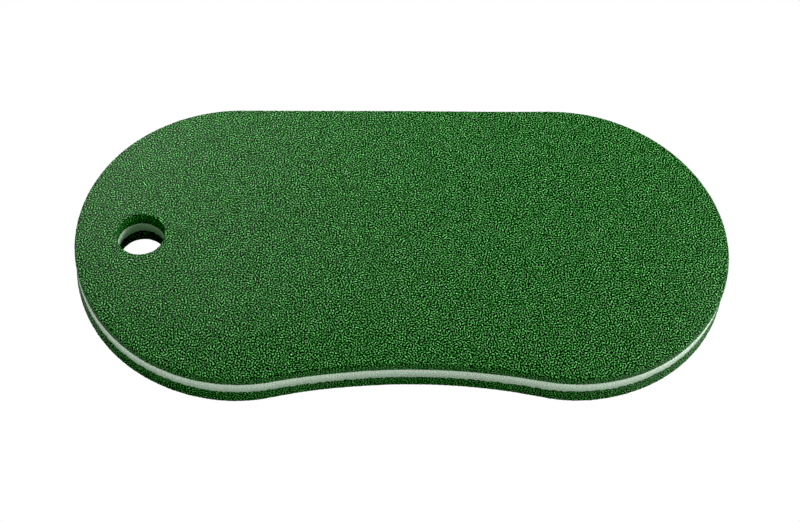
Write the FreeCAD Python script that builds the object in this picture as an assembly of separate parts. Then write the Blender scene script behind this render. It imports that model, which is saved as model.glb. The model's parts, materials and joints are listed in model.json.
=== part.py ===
import FreeCAD, Part
import math
import os

# Kneeling pad: three foam sheets bonded face to face and cut out as one kidney shape.
# Millimetres. Origin at the centre of the underside, +X along the length, +Y towards the
# straight long edge, +Z up. The hanging hole is near the -X end.

# Driving dimensions of the outline
PAD_LENGTH = 400.0
PAD_WIDTH = 200.0
WAIST_RADIUS = 400.0        # hollow curve in the middle of the front edge

# Driving dimensions of the layers
GREEN_THICKNESS = 9.2
WHITE_THICKNESS = 8.2
FILM_THICKNESS = 0.2
FILM_SETBACK = 1.0          # the glue stops this far short of every cut edge

# Hanging hole
HOLE_RADIUS = 14.5
HOLE_FROM_END = 40.0        # hole centre to the -X end of the pad

# Rounding of the rims
TOP_RIM_RADIUS = 2.0
BOTTOM_RIM_RADIUS = 1.0
HOLE_RIM_RADIUS = 1.0

# Worked out from the above
END_RADIUS = PAD_WIDTH / 2
END_CENTRE_X = PAD_LENGTH / 2 - END_RADIUS
HOLE_X = HOLE_FROM_END - PAD_LENGTH / 2
LOWER_FILM_Z = GREEN_THICKNESS
MIDDLE_Z = LOWER_FILM_Z + FILM_THICKNESS
UPPER_FILM_Z = MIDDLE_Z + WHITE_THICKNESS
TOP_Z = UPPER_FILM_Z + FILM_THICKNESS

SAME_HEIGHT = 1e-6          # tolerance for finding the edges at one height


def pad_outline(inset=0.0):
    """Closed outline of the pad at z = 0, moved inwards by inset.

    Two round ends, a straight back edge, and a front edge that runs from one end arc into a
    hollow waist arc and out into the other, tangent at both joins.
    """
    end_radius = END_RADIUS - inset
    waist_radius = WAIST_RADIUS + inset
    centre_gap = END_RADIUS + WAIST_RADIUS
    waist_centre_y = -math.sqrt(centre_gap ** 2 - END_CENTRE_X ** 2)
    join_x = END_CENTRE_X * (1 - end_radius / centre_gap)
    join_y = waist_centre_y * end_radius / centre_gap

    back_right = FreeCAD.Vector(END_CENTRE_X, end_radius, 0)
    back_left = FreeCAD.Vector(-END_CENTRE_X, end_radius, 0)
    left_tip = FreeCAD.Vector(-END_CENTRE_X - end_radius, 0, 0)
    right_tip = FreeCAD.Vector(END_CENTRE_X + end_radius, 0, 0)
    front_left = FreeCAD.Vector(-join_x, join_y, 0)
    front_right = FreeCAD.Vector(join_x, join_y, 0)
    waist_crest = FreeCAD.Vector(0, waist_centre_y + waist_radius, 0)

    edges = [
        Part.LineSegment(back_right, back_left).toShape(),
        Part.Arc(back_left, left_tip, front_left).toShape(),
        Part.Arc(front_left, waist_crest, front_right).toShape(),
        Part.Arc(front_right, right_tip, back_right).toShape(),
    ]
    return Part.Wire(edges)


def pad_slab(base_z, thickness, setback=0.0):
    """A flat slab of the pad's shape with the hanging hole through it."""
    slab = Part.Face(pad_outline(setback)).extrude(FreeCAD.Vector(0, 0, thickness))
    hole = Part.makeCylinder(HOLE_RADIUS + setback, thickness, FreeCAD.Vector(HOLE_X, 0, 0))
    slab = slab.cut(hole)
    slab.translate(FreeCAD.Vector(0, 0, base_z))
    return slab


def is_hole_edge(edge):
    """True for an edge of the hanging hole."""
    return isinstance(edge.Curve, Part.Circle) and edge.Curve.Radius < 2 * HOLE_RADIUS


def round_rims(slab, face_z, outer_radius):
    """Round the outer rim and the hole's rim where the slab meets the plane z = face_z."""
    face_edges = [
        edge for edge in slab.Edges
        if abs(edge.BoundBox.ZMin - face_z) < SAME_HEIGHT
        and abs(edge.BoundBox.ZMax - face_z) < SAME_HEIGHT
    ]
    outer_rim = [edge for edge in face_edges if not is_hole_edge(edge)]
    slab = slab.makeFillet(outer_radius, outer_rim)
    hole_rim = [
        edge for edge in slab.Edges
        if is_hole_edge(edge) and abs(edge.BoundBox.ZMin - face_z) < SAME_HEIGHT
    ]
    return slab.makeFillet(HOLE_RIM_RADIUS, hole_rim)


def top_foam_sheet():
    """Green sheet that carries the knees, with a soft rim."""
    sheet = pad_slab(TOP_Z, GREEN_THICKNESS)
    return round_rims(sheet, TOP_Z + GREEN_THICKNESS, TOP_RIM_RADIUS)


def middle_foam_sheet():
    """White sheet in the middle of the sandwich."""
    return pad_slab(MIDDLE_Z, WHITE_THICKNESS)


def bottom_foam_sheet():
    """Green sheet that lies on the ground, its rim rounded a little less."""
    return round_rims(pad_slab(0, GREEN_THICKNESS), 0, BOTTOM_RIM_RADIUS)


def glue_film(base_z):
    """Bond film between two sheets, set back from the outline and from the hole."""
    return pad_slab(base_z, FILM_THICKNESS, FILM_SETBACK)


PIECES = {
    "bottom_foam_sheet": bottom_foam_sheet(),
    "lower_glue_film": glue_film(LOWER_FILM_Z),
    "middle_foam_sheet": middle_foam_sheet(),
    "upper_glue_film": glue_film(UPPER_FILM_Z),
    "top_foam_sheet": top_foam_sheet(),
}

os.makedirs("parts", exist_ok=True)
for name, shape in PIECES.items():
    shape.exportStep(f"parts/{name}.step")
    box = shape.optimalBoundingBox()
    print(f"{name}: {len(shape.Solids)} solid, valid {shape.isValid()},"
          f" volume {shape.Volume / 1000:.1f} cm3,"
          f" {box.XLength:.2f} x {box.YLength:.2f} x {box.ZLength:.2f} mm from z {box.ZMin:.2f}")
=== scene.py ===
import json
import math

import bpy
import numpy as np
from mathutils import Matrix, Vector, noise
from mathutils.geometry import delaunay_2d_cdt


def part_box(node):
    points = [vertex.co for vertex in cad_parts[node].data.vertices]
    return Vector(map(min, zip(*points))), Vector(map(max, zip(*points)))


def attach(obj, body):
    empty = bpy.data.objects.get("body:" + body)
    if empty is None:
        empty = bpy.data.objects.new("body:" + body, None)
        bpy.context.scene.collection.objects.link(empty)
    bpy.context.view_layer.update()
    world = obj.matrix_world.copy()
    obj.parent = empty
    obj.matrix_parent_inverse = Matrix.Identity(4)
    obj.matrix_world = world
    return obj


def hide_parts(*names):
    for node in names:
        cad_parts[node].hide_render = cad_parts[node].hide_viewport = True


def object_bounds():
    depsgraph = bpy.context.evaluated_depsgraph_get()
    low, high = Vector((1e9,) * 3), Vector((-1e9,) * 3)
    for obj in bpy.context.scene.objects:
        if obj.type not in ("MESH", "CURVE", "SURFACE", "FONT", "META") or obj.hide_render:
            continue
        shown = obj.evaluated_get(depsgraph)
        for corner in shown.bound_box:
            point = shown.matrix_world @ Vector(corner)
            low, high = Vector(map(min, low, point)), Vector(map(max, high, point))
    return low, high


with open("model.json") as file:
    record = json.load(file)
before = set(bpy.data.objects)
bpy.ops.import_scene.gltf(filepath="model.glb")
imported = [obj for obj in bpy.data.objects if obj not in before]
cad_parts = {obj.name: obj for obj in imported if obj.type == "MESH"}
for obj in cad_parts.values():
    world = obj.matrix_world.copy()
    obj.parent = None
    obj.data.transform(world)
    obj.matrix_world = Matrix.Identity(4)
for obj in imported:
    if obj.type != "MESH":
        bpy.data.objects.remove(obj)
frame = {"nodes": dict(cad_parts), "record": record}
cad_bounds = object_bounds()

# A kneeling pad of three foam sheets. Each sheet's plain solid is replaced by a meshed one with
# cut edges, a pebbled skin and slightly uneven walls. Metres, in the frame of the CAD model.

# ---------------------------------------------------------------- places read from the frame
PAD_LOW, PAD_HIGH = cad_bounds
END_RADIUS = (PAD_HIGH.y - PAD_LOW.y) / 2
END_CENTRE_X = (PAD_HIGH.x - PAD_LOW.x) / 2 - END_RADIUS
HOLE = next(mount for mount in frame["record"]["mounts"] if mount["name"] == "hanging_hole")
HOLE_CENTRE = np.array(HOLE["pos_m"][:2])
HOLE_RADIUS = HOLE["dims"]["r_mm"] / 1000
BOTTOM_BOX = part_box("bottom_foam_sheet")
MIDDLE_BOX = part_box("middle_foam_sheet")
TOP_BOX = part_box("top_foam_sheet")

# ---------------------------------------------------------------- sizes of the shape's details
WAIST_RADIUS = 0.400
WAIST_CENTRE_Y = -math.sqrt((END_RADIUS + WAIST_RADIUS) ** 2 - END_CENTRE_X ** 2)
TOP_RIMS = (0.0010, 0.0006)     # rounding of the kneeling face's edge and of its hole's
BOTTOM_RIMS = (0.0007, 0.0008)  # the same on the underside
SEAM_RIM = 0.0003               # rounding where two sheets meet
SEAM_LIP = 0.0012               # how far in from the wall a seam's unevenness reaches
LOWER_SEAM_ROUGHNESS = 0.00050  # spread of the seams' heights
UPPER_SEAM_ROUGHNESS = 0.00008
SEAM_LIMIT = 1.5                # a seam's height strays by at most this many spreads
SEAM_FADE = 3                   # the higher, the sooner a seam's unevenness fades along the wall
EDGE_DROP = 0.0034              # how far the kneeling face dips towards its outer edge
DROP_WIDTH = 0.050              # and how far in from the edge that starts
WALL_FLARE = 0.0012             # how far the cut wall's foot spreads at the rounded ends
FLARE_START, FLARE_FULL = 0.050, 0.110  # distances from the pad's middle
FLARE_CURVE = 1.5               # the higher, the closer to the foot the wall spreads

SKIN_PITCH = 0.00100            # spacing of the mesh points on a face that shows
WALL_PITCH = 0.00115            # spacing of the mesh points along and down a wall
FEWEST_RIM_STEPS = 3
LATTICE_JITTER = 0.22           # share of the pitch that a point of a face may stray
LATTICE_MARGIN = 0.7            # share of the pitch kept clear beside a face's edge
EDGE_SLACK = 0.1                # share of the pitch by which a triangle may pass an edge
SAME_POINT = 1e-9               # distance at which two points count as one
RANDOM_SEED = 7
GREEN_PEBBLE = 0.00012          # heights of the relief, from single pebbles to a slow sway
WHITE_PEBBLE = 0.00008
RIPPLE, RIPPLE_SIZE = 0.00010, 0.007
SWAY, SWAY_SIZE = 0.00030, 0.060

GRAIN_MAP = "grain"
CELLS_PER_PATCH = 1.5           # grain cells across one patch of the Gabor noise: fewer is rougher
COARSE_CELL = 0.00158           # the two sizes of grain cell
FINE_CELL = 0.00098
FINE_SHARE = 0.38
SEAM_SHADE_HEIGHT = 0.0060           # how far up the white wall the painted shade above the lower seam reaches
SEAM_SHADE_PATCHES_PER_METRE = 700.0
MOTTLE_PER_METRE = 250.0        # of the glue film


# ---------------------------------------------------------------- outline
def arc_points(centre, radius, start_deg, end_deg, outward=1.0):
    """Points and outward normals along an arc, without its last point."""
    start, end = math.radians(start_deg), math.radians(end_deg)
    count = round(abs(end - start) * radius / WALL_PITCH)
    angles = start + (end - start) * np.arange(count) / count
    radial = np.stack([np.cos(angles), np.sin(angles)], 1)
    return np.array(centre) + radius * radial, outward * radial


def pad_loop():
    """The pad's outline, anticlockwise from the back edge's right end: points and normals."""
    tangent = math.degrees(math.asin(END_CENTRE_X / (END_RADIUS + WAIST_RADIUS)))
    count = round(2 * END_CENTRE_X / WALL_PITCH)
    back_x = END_CENTRE_X - 2 * END_CENTRE_X * np.arange(count) / count
    stretches = [
        (np.stack([back_x, np.full(count, END_RADIUS)], 1), np.tile([0.0, 1.0], (count, 1))),
        arc_points((-END_CENTRE_X, 0), END_RADIUS, 90, 270 + tangent),
        arc_points((0, WAIST_CENTRE_Y), WAIST_RADIUS, 90 + tangent, 90 - tangent, -1.0),
        arc_points((END_CENTRE_X, 0), END_RADIUS, -90 - tangent, 90),
    ]
    points, normals = zip(*stretches)
    return np.concatenate(points), np.concatenate(normals)


def hole_loop():
    """The hanging hole's edge, clockwise, with normals out of the foam, towards its centre."""
    return arc_points(HOLE_CENTRE, HOLE_RADIUS, 360, 0, -1.0)


def depth_inside(points):
    """How far inside the outline points are, negative outside."""
    x, y = points.T
    across = np.abs(x)
    from_end = END_RADIUS - np.hypot(across - END_CENTRE_X, y)
    from_back = END_RADIUS - y
    from_waist = np.hypot(x, y - WAIST_CENTRE_Y) - WAIST_RADIUS
    # the waist's arc meets the end's on the line between their centres
    past_waist = END_CENTRE_X * (y - WAIST_CENTRE_Y) + WAIST_CENTRE_Y * across < 0
    at_end = (across >= END_CENTRE_X) | ((y < 0) & past_waist)
    return np.where(at_end, from_end, np.minimum(from_back, from_waist))


def depth_from_hole(points):
    """How far points are from the hanging hole's edge, negative in the hole."""
    return np.hypot(*(points - HOLE_CENTRE).T) - HOLE_RADIUS


def foot_spread(points, flare):
    """How far the foot of the wall near each point spreads: not at all at the waist."""
    share = ((np.abs(points[:, 0]) - FLARE_START) / (FLARE_FULL - FLARE_START)).clip(0, 1)
    return flare * share ** 2 * (3 - 2 * share)


def face_dip(points, drop):
    """How far a face dips at each point, from nothing inside to the whole drop at its edge."""
    return drop * (1 - depth_inside(points) / DROP_WIDTH).clip(0, 1) ** 2


# ---------------------------------------------------------------- sheet meshes
def rim_turns(radius):
    """Angles of the rows round a rim, from its face to its wall."""
    steps = max(FEWEST_RIM_STEPS, round(radius * math.pi / 2 / WALL_PITCH))
    return np.linspace(0, math.pi / 2, steps + 1)


def wall_rows(low, high, low_rim, high_rim):
    """Rows down a wall, as (inset, z, share of the lower seam's shift, share of the upper's).

    A rim of None is a seam, whose edge is nearly sharp and has one more row inside the lip.
    """
    seams = (low_rim is None, high_rim is None)
    low_rim = low_rim or SEAM_RIM
    high_rim = high_rim or SEAM_RIM
    rows = [
        (high_rim * (1 - math.sin(turn)), high - high_rim * (1 - math.cos(turn)))
        for turn in rim_turns(high_rim)
    ]
    straight = high - high_rim - low - low_rim
    count = round(straight / WALL_PITCH)
    rows += [(0.0, high - high_rim - straight * step / count) for step in range(1, count)]
    rows += [
        (low_rim * (1 - math.cos(turn)), low + low_rim * (1 - math.sin(turn)))
        for turn in rim_turns(low_rim)
    ]
    rows = [
        (inset, z, ((high - z) / (high - low)) ** SEAM_FADE, ((z - low) / (high - low)) ** SEAM_FADE)
        for inset, z in rows
    ]
    if seams[1]:
        rows.insert(0, (SEAM_LIP, high, 0.0, 0.0))
    if seams[0]:
        rows.append((SEAM_LIP, low, 0.0, 0.0))
    return rows


def skin_lattice(insets, random):
    """Triangular lattice of points, each strayed a little, clear of the outline and the hole."""
    columns = np.arange(PAD_LOW.x, PAD_HIGH.x, SKIN_PITCH)
    rows = np.arange(PAD_LOW.y, PAD_HIGH.y, SKIN_PITCH * math.sqrt(3) / 2)
    x, y = np.meshgrid(columns, rows)
    x = x + (np.arange(len(rows)) % 2)[:, None] * SKIN_PITCH / 2
    points = np.stack([x.ravel(), y.ravel()], 1)
    points += random.uniform(-LATTICE_JITTER, LATTICE_JITTER, points.shape) * SKIN_PITCH
    clear = SKIN_PITCH * LATTICE_MARGIN
    keep = depth_inside(points) > insets[0] + clear
    return points[keep & (depth_from_hole(points) > insets[1] + clear)]


def fill_face(loops, insets, flare, lattice):
    """Triangles over a flat face, as indices into its loops' points and then the lattice's."""
    points = np.concatenate([*loops, lattice])
    edges, first = [], 0
    for loop in loops:
        ring = list(range(first, first + len(loop)))
        edges += list(zip(ring, ring[1:] + ring[:1]))
        first += len(loop)
    found, _, triangles, origin, _, _ = delaunay_2d_cdt(
        [Vector(p) for p in points], edges, [], 0, SAME_POINT, True)
    # origin says which of the given points each found point stands for
    triangles = np.array(triangles)
    middle = np.array(found)[triangles].mean(1)
    slack = SKIN_PITCH * EDGE_SLACK
    keep = depth_inside(middle) > insets[0] - foot_spread(middle, flare) - slack
    keep &= depth_from_hole(middle) > insets[1] - slack
    return np.array([ids[0] for ids in origin])[triangles[keep]]


class SheetMesh:
    """The points, faces and grain coordinates of one sheet while it is put together."""

    def __init__(self):
        self.points, self.faces, self.grain = [], [], []
        self.count = 0

    def add_points(self, points):
        """Adds points and returns their numbers."""
        numbers = self.count + np.arange(len(points))
        self.points.append(points)
        self.count += len(points)
        return numbers

    def add_faces(self, corners, places):
        """Adds faces: the numbers of each one's corners, and their places on the grain map."""
        self.faces += corners.tolist()
        self.grain.append(places.reshape(-1, 2))

    def add_wall(self, rings, rows, pitch):
        """Joins rings of points, top to bottom, and returns the top's and the foot's numbers."""
        numbers = [self.add_points(ring) for ring in rings]
        column = np.arange(len(rings[0]))
        along = np.stack([column, column, column + 1, column + 1], 1) * pitch
        run = np.cumsum([0.0] + [math.dist(a[:2], b[:2]) for a, b in zip(rows, rows[1:])])
        for upper, lower, above, below in zip(numbers, numbers[1:], run, run[1:]):
            corners = np.stack([upper, lower, np.roll(lower, -1), np.roll(upper, -1)], 1)
            down = np.tile([above, below, below, above], (len(column), 1))
            self.add_faces(corners, np.stack([along, down], 2))
        return numbers[0], numbers[-1]

    def to_object(self, name):
        """The finished mesh as a smooth-shaded object in the scene."""
        data = bpy.data.meshes.new(name)
        data.from_pydata(np.concatenate(self.points).tolist(), [], self.faces)
        layer = data.uv_layers.new(name=GRAIN_MAP)
        layer.data.foreach_set("uv", np.concatenate(self.grain).ravel())
        data.update()
        data.polygons.foreach_set("use_smooth", np.ones(len(data.polygons), bool))
        piece = bpy.data.objects.new(name, data)
        bpy.context.scene.collection.objects.link(piece)
        return piece


def wall_rings(line, normal, rows, low, high, dips, spread, shifts):
    """A wall's points, row by row, with its dips, its spreading foot and its seams' shifts."""
    top = high - dips[0]
    rings = []
    for inset, z, to_low, to_high in rows:
        foot = ((top - z) / (top - low)) ** FLARE_CURVE
        height = z + to_low * shifts[0] + to_high * shifts[1]
        height = height - (dips - dips[0]) * (z - low) / (top - low)
        rings.append(np.column_stack([line - normal * inset + spread * foot, height]))
    return rings


def build_sheet(name, box, random, low_rims=None, high_rims=None, low_seam=None, high_seam=None,
                flare=0.0, drop=0.0):
    """One foam sheet as an object.

    A face with rims, the outline's and the hole's, shows and gets a lattice of points. A face
    with none is bonded, and its seam is the height at which it meets the next sheet, for each
    point of each loop. The flare is how far the foot of the outer wall spreads, and the drop how
    far the upper face dips towards its outer edge. The grain map lays each face flat, and
    unrolls each wall, at true size.
    """
    low, high = box[0].z, box[1].z
    sheet = SheetMesh()
    edges = {"high": [], "low": []}
    for number, (line, normal) in enumerate([pad_loop(), hole_loop()]):
        low_rim = low_rims[number] if low_rims else None
        high_rim = high_rims[number] if high_rims else None
        low_shift = 0.0 if low_seam is None else low_seam[number] - low
        high_shift = 0.0 if high_seam is None else high_seam[number] - high
        spread = normal * (foot_spread(line, flare)[:, None] if number == 0 else 0.0)
        dips = face_dip(line - normal * (high_rim or 0.0), drop)
        rows = wall_rows(low, high - dips[0], low_rim, high_rim)
        rings = wall_rings(line, normal, rows, low, high, dips, spread, (low_shift, high_shift))
        top, foot = sheet.add_wall(rings, rows, np.hypot(*(line[1] - line[0])))
        edges["high"].append((top, rows[0][0], rings[0][:, :2]))
        edges["low"].append((foot, rows[-1][0], rings[-1][:, :2]))
    for edge, z, shows in (("high", high, high_rims), ("low", low, low_rims)):
        numbers, insets, outlines = zip(*edges[edge])
        lattice = skin_lattice(insets, random) if shows else np.zeros((0, 2))
        triangles = fill_face(outlines, insets, flare if edge == "low" else 0.0, lattice)
        triangles = triangles if edge == "high" else triangles[:, ::-1]
        dips = face_dip(lattice, drop if edge == "high" else 0.0)
        inner = sheet.add_points(np.column_stack([lattice, z - dips]))
        places = np.concatenate([*outlines, lattice])
        sheet.add_faces(np.concatenate([*numbers, inner])[triangles], places[triangles])
    return sheet.to_object(name)


def roughen(piece, pebble, random):
    """Moves each point along its normal: single pebbles, small ripples and a slow sway.

    No point ends up below the ground.
    """
    data = piece.data
    count = len(data.vertices)
    place = np.empty(count * 3, np.float32)
    data.vertices.foreach_get("co", place)
    place = place.reshape(-1, 3)
    normal = np.empty(count * 3, np.float32)
    data.vertex_normals.foreach_get("vector", normal)
    ends = np.empty(len(data.edges) * 2, np.int32)
    data.edges.foreach_get("vertices", ends)
    one, other = ends.reshape(-1, 2).T
    lone = random.uniform(-1, 1, count)
    around = np.bincount(one, lone[other], count) + np.bincount(other, lone[one], count)
    neighbours = np.bincount(one, minlength=count) + np.bincount(other, minlength=count)
    height = pebble * (lone - around / neighbours)
    for number, point in enumerate(place.tolist()):
        spot = Vector(point)
        height[number] += RIPPLE * noise.noise(spot / RIPPLE_SIZE)
        height[number] += SWAY * noise.noise(spot / SWAY_SIZE)
    place = place + height[:, None] * normal.reshape(-1, 3)
    place[:, 2] = place[:, 2].clip(PAD_LOW.z, None)
    data.vertices.foreach_set("co", place.ravel())
    data.update()


def seam_line(lower_box, upper_box, roughness, random):
    """Heights at which two sheets meet, along the outline and along the hole."""
    middle = (lower_box[1].z + upper_box[0].z) / 2
    return [middle + roughness * random.normal(size=len(line)).clip(-SEAM_LIMIT, SEAM_LIMIT)
            for line, _ in (pad_loop(), hole_loop())]


# ---------------------------------------------------------------- materials
def new_material(name):
    """A material, its nodes, its links and its surface shader."""
    material = bpy.data.materials.new(name)
    material.use_nodes = True
    nodes, links = material.node_tree.nodes, material.node_tree.links
    return material, nodes, links, nodes["Principled BSDF"]


def grain_noise(nodes, links, place, cell):
    """Worm-like grain of one cell size, about 0.5 on average."""
    grain = nodes.new("ShaderNodeTexGabor")
    grain.gabor_type = "2D"
    grain.inputs["Scale"].default_value = 1 / (cell * CELLS_PER_PATCH)
    grain.inputs["Frequency"].default_value = CELLS_PER_PATCH
    grain.inputs["Anisotropy"].default_value = 0.0
    links.new(place.outputs["UV"], grain.inputs["Vector"])
    return grain.outputs["Value"]


def foam_material(name, stops, relief, roughness, gloss):
    """Closed-cell foam: a worm-like grain with fine relief. Its colour is partly the foam's own and
    partly painted light: dark in the pits as painted shade, pale on top as a painted highlight.

    The stops are pairs of the grain's value and the colour there, and the relief is in metres.
    """
    material, nodes, links, surface = new_material(name)
    place = nodes.new("ShaderNodeUVMap")
    place.uv_map = GRAIN_MAP
    grain = nodes.new("ShaderNodeMix")
    grain.data_type = "FLOAT"
    grain.inputs["Factor"].default_value = FINE_SHARE
    links.new(grain_noise(nodes, links, place, COARSE_CELL), grain.inputs["A"])
    links.new(grain_noise(nodes, links, place, FINE_CELL), grain.inputs["B"])
    ramp = nodes.new("ShaderNodeValToRGB")
    ramp.color_ramp.elements[0].position = stops[0][0]
    ramp.color_ramp.elements[0].color = (*stops[0][1], 1)
    ramp.color_ramp.elements[1].position = stops[-1][0]
    ramp.color_ramp.elements[1].color = (*stops[-1][1], 1)
    for position, colour in stops[1:-1]:
        ramp.color_ramp.elements.new(position).color = (*colour, 1)
    links.new(grain.outputs["Result"], ramp.inputs["Fac"])
    links.new(ramp.outputs["Color"], surface.inputs["Base Color"])
    bump = nodes.new("ShaderNodeBump")
    bump.inputs["Strength"].default_value = 1.0
    bump.inputs["Distance"].default_value = relief
    links.new(grain.outputs["Result"], bump.inputs["Height"])
    links.new(bump.outputs["Normal"], surface.inputs["Normal"])
    surface.inputs["Roughness"].default_value = roughness
    surface.inputs["Specular IOR Level"].default_value = gloss
    return material


def paint_seam_shade(material, seam_z, shade_tint, amount):
    """Paints shade onto a material above a seam: a dark green tint, uneven and fading upwards."""
    nodes, links = material.node_tree.nodes, material.node_tree.links
    surface = nodes["Principled BSDF"]
    foam_colour = surface.inputs["Base Color"].links[0].from_socket
    place = nodes.new("ShaderNodeTexCoord")
    parts = nodes.new("ShaderNodeSeparateXYZ")
    links.new(place.outputs["Object"], parts.inputs["Vector"])
    patches = nodes.new("ShaderNodeTexNoise")
    patches.inputs["Scale"].default_value = SEAM_SHADE_PATCHES_PER_METRE
    links.new(place.outputs["Object"], patches.inputs["Vector"])
    lift = nodes.new("ShaderNodeMath")
    lift.operation = "MULTIPLY_ADD"
    lift.inputs[1].default_value = -SEAM_SHADE_HEIGHT
    links.new(patches.outputs["Fac"], lift.inputs[0])
    links.new(parts.outputs["Z"], lift.inputs[2])
    fade = nodes.new("ShaderNodeMapRange")
    fade.inputs["From Min"].default_value = seam_z - SEAM_SHADE_HEIGHT / 2
    fade.inputs["From Max"].default_value = seam_z + SEAM_SHADE_HEIGHT / 2
    fade.inputs["To Min"].default_value = amount
    fade.inputs["To Max"].default_value = 0.0
    links.new(lift.outputs["Value"], fade.inputs["Value"])
    blend = nodes.new("ShaderNodeMix")
    blend.data_type = "RGBA"
    links.new(fade.outputs["Result"], blend.inputs["Factor"])
    links.new(foam_colour, blend.inputs["A"])
    blend.inputs["B"].default_value = (*shade_tint, 1)
    links.new(blend.outputs["Result"], surface.inputs["Base Color"])


def glue_material():
    """Dull hot-melt film with a faint mottle."""
    material, nodes, links, surface = new_material("glue_film")
    mottle = nodes.new("ShaderNodeTexNoise")
    mottle.inputs["Scale"].default_value = MOTTLE_PER_METRE
    place = nodes.new("ShaderNodeTexCoord")
    links.new(place.outputs["Object"], mottle.inputs["Vector"])
    ramp = nodes.new("ShaderNodeValToRGB")
    ramp.color_ramp.elements[0].color = (0.50, 0.47, 0.36, 1)
    ramp.color_ramp.elements[1].color = (0.66, 0.63, 0.52, 1)
    links.new(mottle.outputs["Fac"], ramp.inputs["Fac"])
    links.new(ramp.outputs["Color"], surface.inputs["Base Color"])
    surface.inputs["Roughness"].default_value = 0.45
    return material


# The grain's colours are partly the foam's own green and partly painted light: black in the pits as
# painted shade, pale whitish green on the tops as a painted highlight.
GREEN_STOPS = [
    (0.475, (0.000, 0.000, 0.000)),
    (0.510, (0.003, 0.045, 0.003)),
    (0.750, (0.250, 0.850, 0.240)),
]
# Also partly painted light: greyer green in the pits as painted shade, palest on the tops as a
# painted highlight.
WHITE_STOPS = [
    (0.38, (0.38, 0.52, 0.39)),
    (0.50, (0.70, 0.88, 0.70)),
    (0.57, (0.82, 0.98, 0.81)),
]

# ---------------------------------------------------------------- the pad
chance = np.random.default_rng(RANDOM_SEED)
lower_seam = seam_line(BOTTOM_BOX, MIDDLE_BOX, LOWER_SEAM_ROUGHNESS, chance)
upper_seam = seam_line(MIDDLE_BOX, TOP_BOX, UPPER_SEAM_ROUGHNESS, chance)
bottom = build_sheet(
    "bottom_green_foam", BOTTOM_BOX, chance,
    low_rims=BOTTOM_RIMS, high_seam=lower_seam, flare=WALL_FLARE)
middle = build_sheet(
    "middle_white_foam", MIDDLE_BOX, chance, low_seam=lower_seam, high_seam=upper_seam)
top = build_sheet(
    "top_green_foam", TOP_BOX, chance, low_seam=upper_seam, high_rims=TOP_RIMS, drop=EDGE_DROP)

green = foam_material("green_foam", GREEN_STOPS, relief=0.0003, roughness=0.50, gloss=0.07)
white = foam_material("white_foam", WHITE_STOPS, relief=0.0002, roughness=0.60, gloss=0.12)
# painted shade: the white foam turns a darker green just above the lower seam, where the sheets meet
paint_seam_shade(white, MIDDLE_BOX[0].z, shade_tint=(0.20, 0.34, 0.21), amount=0.7)
for piece, node, slot, material, pebble in (
    (bottom, "bottom_foam_sheet", "green_foam", green, GREEN_PEBBLE),
    (middle, "middle_foam_sheet", "white_foam", white, WHITE_PEBBLE),
    (top, "top_foam_sheet", "green_foam", green, GREEN_PEBBLE),
):
    roughen(piece, pebble, chance)
    piece.data.materials.append(material)
    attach(piece, "root")
    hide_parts(node)

glue = glue_material()
for node in ("lower_glue_film", "upper_glue_film"):
    film = frame["nodes"][node]
    film.data.materials.clear()
    film.data.materials.append(glue)

# ---------------------------------------------------------------- floor, light and camera
FLOOR_HALF = 6.0
FLOOR_GAP = 0.0002
FLOOR_GREY = 0.80
AMBIENT = 0.03
BLACK_LEVEL = 0.01              # light at or below this shows as black


def white_for_camera(nodes, links, output, other, white_node):
    """Pure white when seen straight from the camera, and the other shader for every other ray."""
    path = nodes.new("ShaderNodeLightPath")
    mix = nodes.new("ShaderNodeMixShader")
    links.new(path.outputs["Is Camera Ray"], mix.inputs["Fac"])
    links.new(other.outputs[0], mix.inputs[1])
    links.new(white_node.outputs[0], mix.inputs[2])
    links.new(mix.outputs[0], output.inputs["Surface"])


def make_floor():
    """A wide pale floor just under the pad."""
    z = PAD_LOW.z - FLOOR_GAP
    corners = [(x, y, z) for x, y in ((-1, -1), (1, -1), (1, 1), (-1, 1))]
    corners = [(x * FLOOR_HALF, y * FLOOR_HALF, z) for x, y, z in corners]
    data = bpy.data.meshes.new("floor")
    data.from_pydata(corners, [], [(0, 1, 2, 3)])
    floor = bpy.data.objects.new("floor", data)
    bpy.context.scene.collection.objects.link(floor)
    material = bpy.data.materials.new("pale_floor")
    material.use_nodes = True
    nodes, links = material.node_tree.nodes, material.node_tree.links
    nodes.remove(nodes["Principled BSDF"])
    dull = nodes.new("ShaderNodeBsdfDiffuse")
    dull.inputs["Color"].default_value = (FLOOR_GREY, FLOOR_GREY, FLOOR_GREY, 1)
    glow = nodes.new("ShaderNodeEmission")
    white_for_camera(nodes, links, nodes["Material Output"], dull, glow)
    data.materials.append(material)


def make_world(strength):
    """A dim light from all round."""
    world = bpy.data.worlds.new("studio")
    bpy.context.scene.world = world
    world.use_nodes = True
    nodes, links = world.node_tree.nodes, world.node_tree.links
    dim = nodes["Background"]
    dim.inputs["Color"].default_value = (1, 1, 1, 1)
    dim.inputs["Strength"].default_value = strength
    bright = nodes.new("ShaderNodeBackground")
    bright.inputs["Color"].default_value = (1, 1, 1, 1)
    bright.inputs["Strength"].default_value = 1.0
    white_for_camera(nodes, links, nodes["World Output"], dim, bright)


def make_light(name, azimuth, elevation, distance, target, size, level):
    """A square softbox. Azimuth is anticlockwise from +X, and both angles are in degrees.

    The level is how brightly a white surface at the target shows if it faces the softbox.
    """
    azimuth, elevation = math.radians(azimuth), math.radians(elevation)
    away = Vector((math.cos(azimuth), math.sin(azimuth), math.tan(elevation))).normalized()
    data = bpy.data.lights.new(name, "AREA")
    data.shape = "SQUARE"
    data.size = size
    data.energy = level * (math.pi * distance) ** 2
    light = bpy.data.objects.new(name, data)
    light.location = Vector(target) + away * distance
    light.rotation_mode = "QUATERNION"
    light.rotation_quaternion = away.to_track_quat("Z", "Y")
    bpy.context.scene.collection.objects.link(light)


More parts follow.
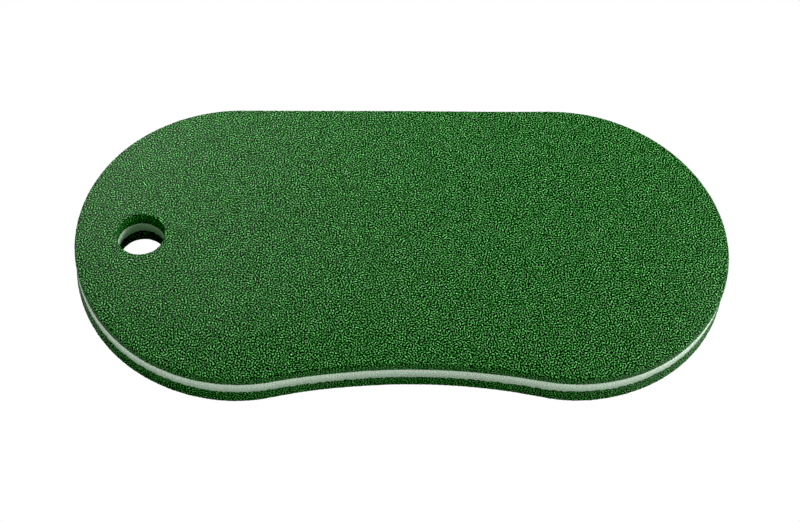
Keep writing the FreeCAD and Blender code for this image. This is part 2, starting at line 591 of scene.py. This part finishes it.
CAMERA_AIM = Vector((-0.0381, -0.0014, PAD_LOW.z))
CAMERA_DISTANCE = 0.9956
CAMERA_AZIMUTH = math.radians(3.248)
CAMERA_ELEVATION = math.radians(56.059)
CAMERA_ROLL = math.radians(2.764)
CAMERA_LENS_MM = 71.88
CAMERA_SHIFT_X = 0.075


def make_camera():
    """A camera that looks at the aim point from its azimuth and elevation, tilted by its roll."""
    data = bpy.data.cameras.new("camera")
    data.lens = CAMERA_LENS_MM
    data.sensor_width = 36.0
    data.shift_x = CAMERA_SHIFT_X
    data.clip_start, data.clip_end = 0.01, 30.0
    camera = bpy.data.objects.new("camera", data)
    bpy.context.scene.collection.objects.link(camera)
    turn = Matrix.Rotation(-CAMERA_AZIMUTH, 3, "Z")
    ahead = turn @ Vector((0, math.cos(CAMERA_ELEVATION), -math.sin(CAMERA_ELEVATION)))
    side = turn @ Vector((1, 0, 0))
    above = side.cross(ahead)
    right = side * math.cos(CAMERA_ROLL) + above * math.sin(CAMERA_ROLL)
    up = right.cross(ahead)
    axes = Matrix((right, up, -ahead)).transposed()
    camera.matrix_world = Matrix.Translation(CAMERA_AIM - ahead * CAMERA_DISTANCE) @ axes.to_4x4()
    bpy.context.scene.camera = camera


CENTRE = (0.0, 0.0, 0.0)
LEFT_END = (-0.1, 0.0, 0.0)     # the middle of the round end with the hole

make_floor()
make_world(AMBIENT)
# azimuth, elevation, distance, target, size, level
make_light("right_softbox", 12, 33, 1.1, CENTRE, 0.30, 0.55)
make_light("right_front_fill", -15, 25, 0.9, CENTRE, 0.30, 0.32)
make_light("right_top_fill", 0, 55, 0.9, CENTRE, 0.40, 0.12)
make_light("back_softbox", 115, 42, 0.75, LEFT_END, 0.40, 1.18)
make_light("left_front_fill", 200, 15, 0.9, LEFT_END, 0.30, 0.10)
make_light("front_card", -100, 15, 1.2, CENTRE, 0.30, 0.20)
make_camera()

view = bpy.context.scene.view_settings
view.view_transform = "Standard"
view.look = "None"
view.use_curve_mapping = True
view.curve_mapping.black_level = (BLACK_LEVEL, BLACK_LEVEL, BLACK_LEVEL)
